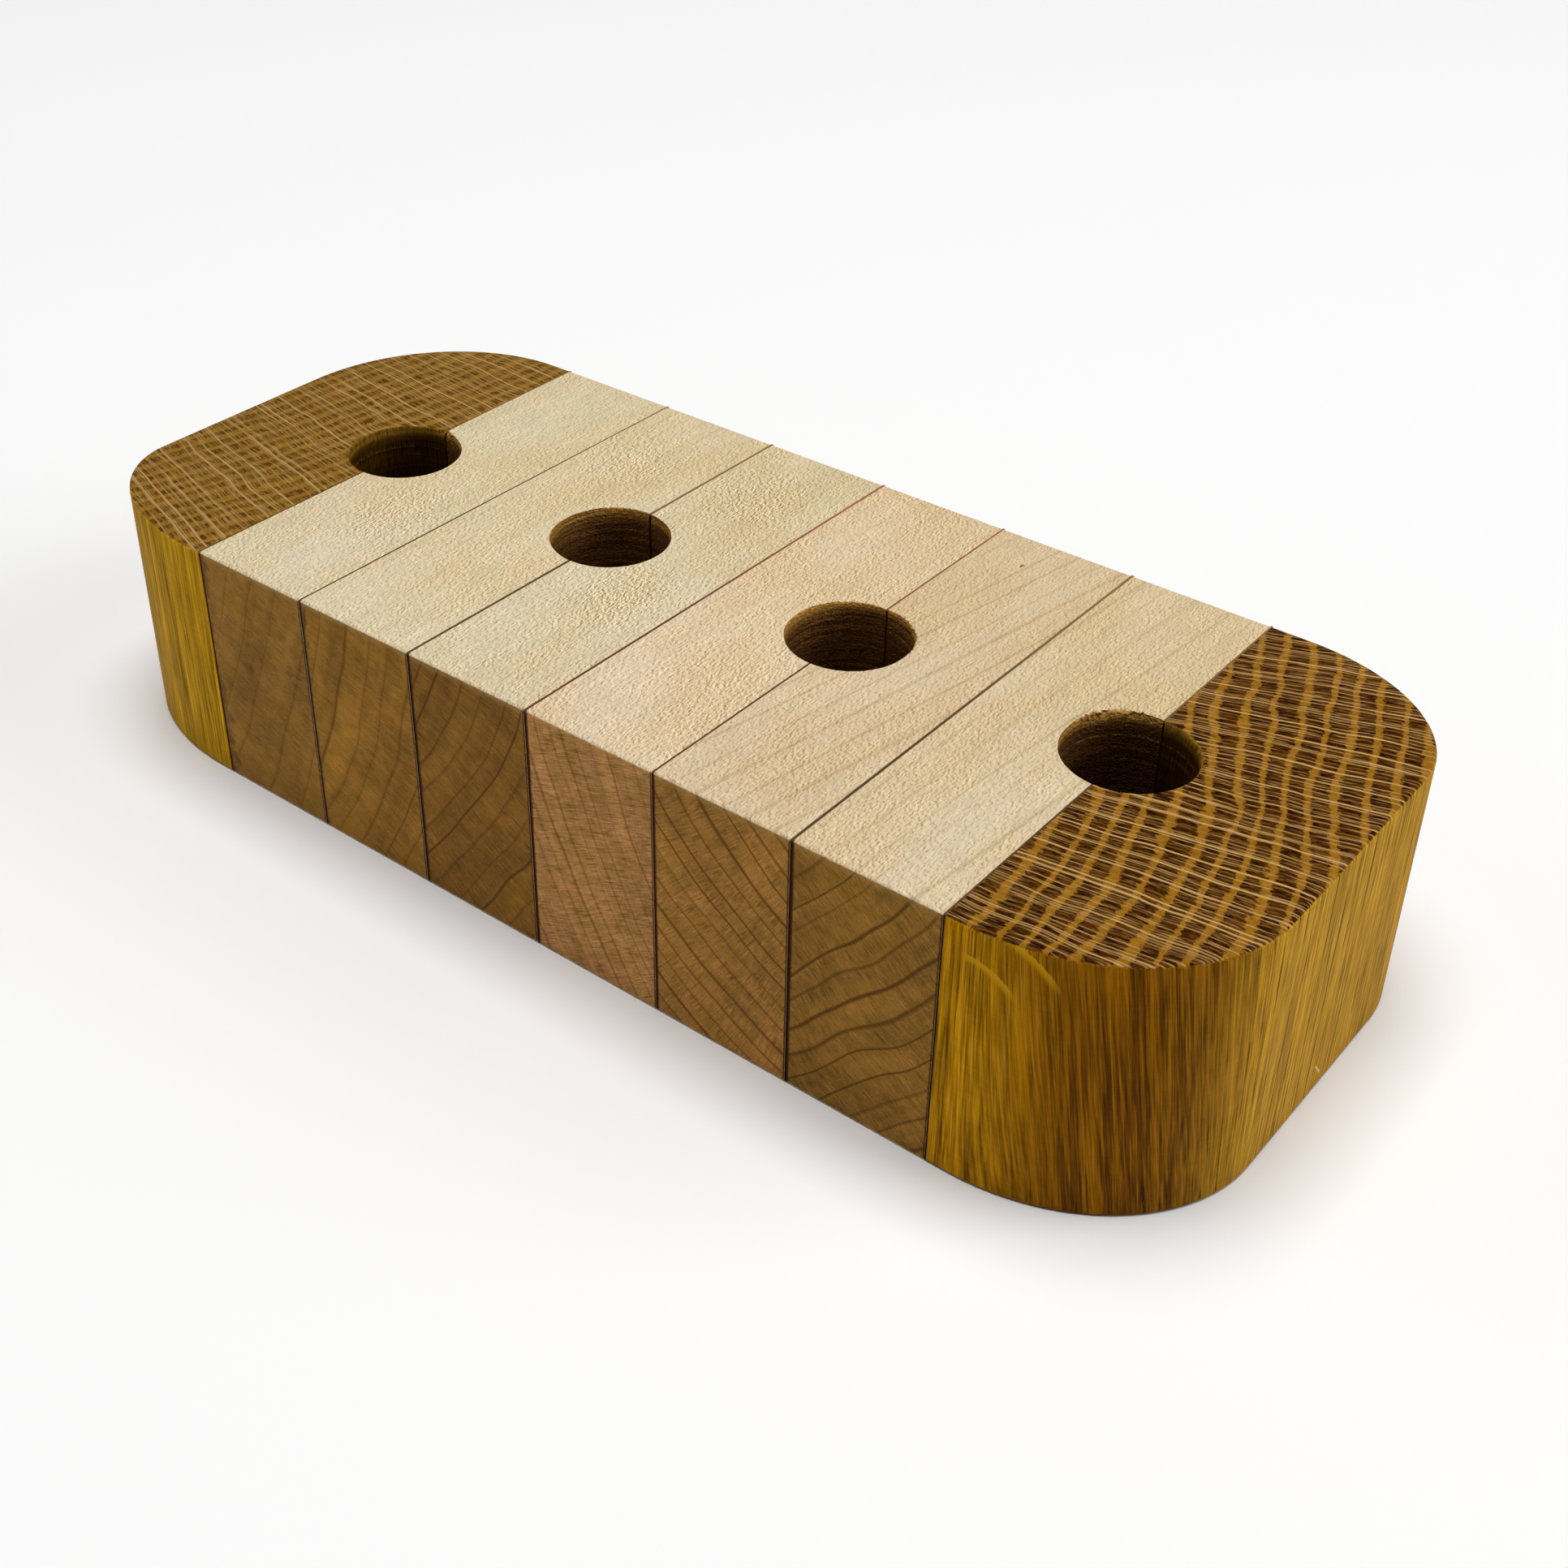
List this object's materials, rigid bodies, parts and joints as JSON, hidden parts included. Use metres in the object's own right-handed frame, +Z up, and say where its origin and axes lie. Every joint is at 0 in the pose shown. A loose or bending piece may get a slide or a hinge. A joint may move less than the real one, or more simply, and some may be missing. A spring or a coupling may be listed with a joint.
{
  "type": "taper candle holder",
  "caption": "Laminated hardwood block with rounded ends and a row of blind round sockets along its middle, each of which seats a taper candle.",
  "frame": {"origin": "centre of the block's underside", "axes": "+X along the row of sockets, +Y towards the long side that the sockets stand slightly nearer to, +Z up out of the sockets"},
  "size_m": [0.24, 0.0996, 0.0488],
  "materials": {
    "oak": "fine-sanded and wiped with oil, end grain on top",
    "maple": "fine-sanded and wiped with oil, end grain on the front and back",
    "dark_glue": "cured glue, dull"
  },
  "bodies": {
    "root": {"oak_end_left": "oak", "maple_stave_1": "maple", "maple_stave_2": "maple", "maple_stave_3": "maple", "maple_stave_4": "maple", "maple_stave_5": "maple", "maple_stave_6": "maple", "oak_end_right": "oak", "glue_line_1": "dark_glue", "glue_line_2": "dark_glue", "glue_line_3": "dark_glue", "glue_line_4": "dark_glue", "glue_line_5": "dark_glue", "glue_line_6": "dark_glue", "glue_line_7": "dark_glue"}
  },
  "joints": []
}
